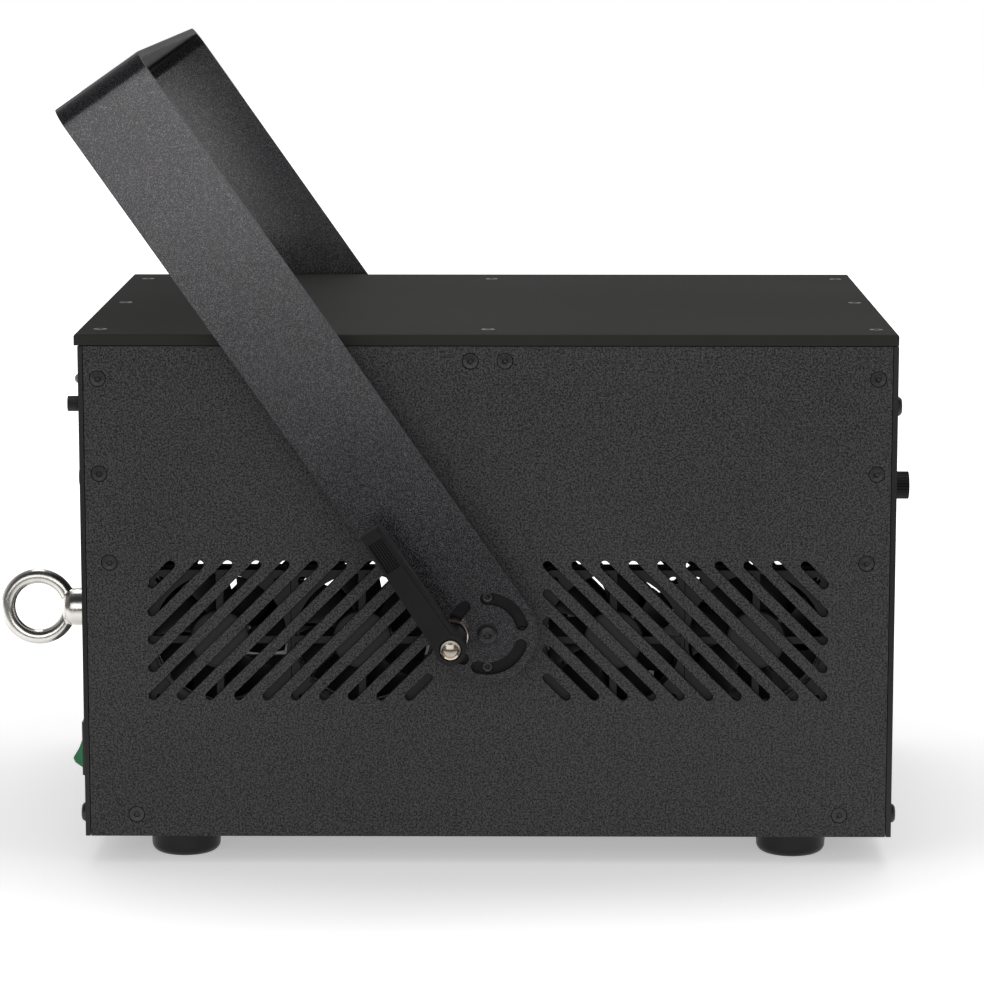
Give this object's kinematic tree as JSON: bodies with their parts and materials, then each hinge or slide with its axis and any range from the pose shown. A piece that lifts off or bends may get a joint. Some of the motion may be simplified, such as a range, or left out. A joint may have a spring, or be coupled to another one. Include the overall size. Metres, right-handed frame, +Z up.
{
  "type": "laser show projector",
  "caption": "Black sheet-metal laser show projector with slotted side vents, rubber feet, a rear control panel and a tilting yoke held by clamp levers.",
  "frame": {"origin": "on the floor, under the middle of the whole object's box, with the yoke at rest, leaning 35 degrees back", "axes": "+X is the way the beam leaves, +Y is the projector's left side, +Z is up"},
  "size_m": [0.3898, 0.349, 0.343],
  "materials": {
    "side_powder_coat": "fine-textured black powder coat",
    "end_powder_coat": "semi-gloss black coat",
    "cover_paint": "smooth matt dark grey",
    "yoke_powder_coat": "fine-textured black powder coat",
    "foot_rubber": "black rubber",
    "blackened_steel": "blackened steel",
    "plated_steel": "bright zinc plate",
    "nickel_plate": "bright nickel",
    "lever_plastic": "satin black nylon",
    "fitting_plastic": "satin black plastic",
    "rocker_plastic": "translucent green",
    "fan_plastic": "black glass-filled plastic",
    "window_glass": "clear, anti-reflection coated",
    "bare_aluminium": "anodised",
    "mirror_coating": "front-silvered",
    "circuit_board": "green solder mask"
  },
  "bodies": {
    "case": {"base_plate": "side_powder_coat", "right_side_panel": "side_powder_coat", "left_side_panel": "side_powder_coat", "front_panel": "end_powder_coat", "rear_panel": "end_powder_coat", "top_cover": "cover_paint", "front_right_foot": "foot_rubber", "front_left_foot": "foot_rubber", "rear_right_foot": "foot_rubber", "rear_left_foot": "foot_rubber", "right_pivot_disc": "blackened_steel", "left_pivot_disc": "blackened_steel", "right_pivot_screw": "blackened_steel", "left_pivot_screw": "blackened_steel", "lifting_eye": "plated_steel", "lifting_eye_nut": "plated_steel", "fan_frame_1": "fan_plastic", "fan_frame_2": "fan_plastic", "fan_frame_3": "fan_plastic", "fan_frame_4": "fan_plastic", "switch_bezel": "fitting_plastic", "power_inlet": "fitting_plastic", "dmx_input": "blackened_steel", "dmx_output": "blackened_steel", "signal_port": "plated_steel", "network_port": "fitting_plastic", "display_module": "fitting_plastic", "key_switch_barrel": "plated_steel", "exit_window": "window_glass", "optical_plate": "bare_aluminium", "blue_laser": "bare_aluminium", "green_laser": "bare_aluminium", "red_laser": "bare_aluminium", "mirror_rail": "blackened_steel", "scanner_block": "bare_aluminium", "power_supply": "bare_aluminium", "control_board": "circuit_board"},
    "yoke": {"yoke": "yoke_powder_coat"},
    "right_clamp": {"right_clamp_insert": "nickel_plate", "right_clamp_screw": "nickel_plate"},
    "right_clamp_lever": {"right_clamp_lever": "lever_plastic"},
    "left_clamp": {"left_clamp_insert": "nickel_plate", "left_clamp_screw": "nickel_plate"},
    "left_clamp_lever": {"left_clamp_lever": "lever_plastic"},
    "aperture_mask": {"aperture_mask": "end_powder_coat"},
    "right_thumb_screw": {"right_thumb_screw": "blackened_steel"},
    "left_thumb_screw": {"left_thumb_screw": "blackened_steel"},
    "power_rocker": {"power_rocker": "rocker_plastic"},
    "level_knob": {"level_knob": "fitting_plastic"},
    "key": {"key": "nickel_plate"},
    "menu_button_1": {"menu_button_1": "fitting_plastic"},
    "menu_button_2": {"menu_button_2": "fitting_plastic"},
    "menu_button_3": {"menu_button_3": "fitting_plastic"},
    "menu_button_4": {"menu_button_4": "fitting_plastic"},
    "horizontal_scan_mirror": {"horizontal_scan_mirror": "mirror_coating"},
    "vertical_scan_mirror": {"vertical_scan_mirror": "mirror_coating"},
    "fan_rotor_1": {"fan_rotor_1": "fan_plastic"},
    "fan_rotor_2": {"fan_rotor_2": "fan_plastic"},
    "fan_rotor_3": {"fan_rotor_3": "fan_plastic"},
    "fan_rotor_4": {"fan_rotor_4": "fan_plastic"}
  },
  "joints": [
    {"name": "yoke_tilt", "type": "hinge", "parent": "case", "child": "yoke", "pos_m": [0.01285, 0, 0.1025], "axis": [0, 1, 0], "range_deg": [-50, 46]},
    {"name": "right_clamp_turn", "type": "hinge", "parent": "case", "child": "right_clamp", "pos_m": [-0.00195, -0.138, 0.1025], "axis": [0, -1, 0], "range_deg": [0, 90]},
    {"name": "right_clamp_lift", "type": "slide", "parent": "right_clamp", "child": "right_clamp_lever", "axis": [0, -1, 0], "range_m": [0, 0.004], "stiffness_N_per_m": 250, "springref_m": -0.002},
    {"name": "left_clamp_turn", "type": "hinge", "parent": "case", "child": "left_clamp", "pos_m": [-0.00195, 0.138, 0.1025], "axis": [0, 1, 0], "range_deg": [0, 90]},
    {"name": "left_clamp_lift", "type": "slide", "parent": "left_clamp", "child": "left_clamp_lever", "axis": [0, 1, 0], "range_m": [0, 0.004], "stiffness_N_per_m": 250, "springref_m": -0.002},
    {"name": "mask_slide", "type": "slide", "parent": "case", "child": "aperture_mask", "axis": [0, 0, -1], "range_m": [0, 0.028]},
    {"name": "right_thumb_screw_turn", "type": "hinge", "parent": "case", "child": "right_thumb_screw", "pos_m": [0.18615, -0.06, 0.153], "axis": [1, 0, 0], "range_deg": [0, 360]},
    {"name": "left_thumb_screw_turn", "type": "hinge", "parent": "case", "child": "left_thumb_screw", "pos_m": [0.18615, 0.06, 0.153], "axis": [1, 0, 0], "range_deg": [0, 360]},
    {"name": "power_rocker_tip", "type": "hinge", "parent": "case", "child": "power_rocker", "pos_m": [-0.15725, -0.104, 0.047], "axis": [0, -1, 0], "range_deg": [0, 14]},
    {"name": "level_knob_turn", "type": "hinge", "parent": "case", "child": "level_knob", "pos_m": [-0.15795, -0.111, 0.1954], "axis": [1, 0, 0], "range_deg": [-140, 140]},
    {"name": "key_turn", "type": "hinge", "parent": "case", "child": "key", "pos_m": [-0.16295, 0.09, 0.194], "axis": [-1, 0, 0], "range_deg": [0, 90]},
    {"name": "menu_button_1_press", "type": "slide", "parent": "case", "child": "menu_button_1", "axis": [1, 0, 0], "range_m": [0, 0.0008], "stiffness_N_per_m": 400, "springref_m": -0.0005},
    {"name": "menu_button_2_press", "type": "slide", "parent": "case", "child": "menu_button_2", "axis": [1, 0, 0], "range_m": [0, 0.0008], "stiffness_N_per_m": 400, "springref_m": -0.0005},
    {"name": "menu_button_3_press", "type": "slide", "parent": "case", "child": "menu_button_3", "axis": [1, 0, 0], "range_m": [0, 0.0008], "stiffness_N_per_m": 400, "springref_m": -0.0005},
    {"name": "menu_button_4_press", "type": "slide", "parent": "case", "child": "menu_button_4", "axis": [1, 0, 0], "range_m": [0, 0.0008], "stiffness_N_per_m": 400, "springref_m": -0.0005},
    {"name": "horizontal_scan", "type": "hinge", "parent": "case", "child": "horizontal_scan_mirror", "pos_m": [0.12255, 0, 0.0783], "axis": [0, 1, 0], "range_deg": [-12, 12]},
    {"name": "vertical_scan", "type": "hinge", "parent": "case", "child": "vertical_scan_mirror", "pos_m": [0.13755, 0, 0.0783], "axis": [0, 0, 1], "range_deg": [-12, 12]},
    {"name": "fan_spin_1", "type": "hinge", "parent": "case", "child": "fan_rotor_1", "pos_m": [-0.1, -0.1112, 0.0962], "axis": [0, 1, 0], "continuous": true},
    {"name": "fan_spin_2", "type": "hinge", "parent": "case", "child": "fan_rotor_2", "pos_m": [-0.04, -0.1112, 0.0962], "axis": [0, 1, 0], "continuous": true},
    {"name": "fan_spin_3", "type": "hinge", "parent": "case", "child": "fan_rotor_3", "pos_m": [0.0657, -0.1112, 0.0962], "axis": [0, 1, 0], "continuous": true},
    {"name": "fan_spin_4", "type": "hinge", "parent": "case", "child": "fan_rotor_4", "pos_m": [0.1257, -0.1112, 0.0962], "axis": [0, 1, 0], "continuous": true}
  ]
}
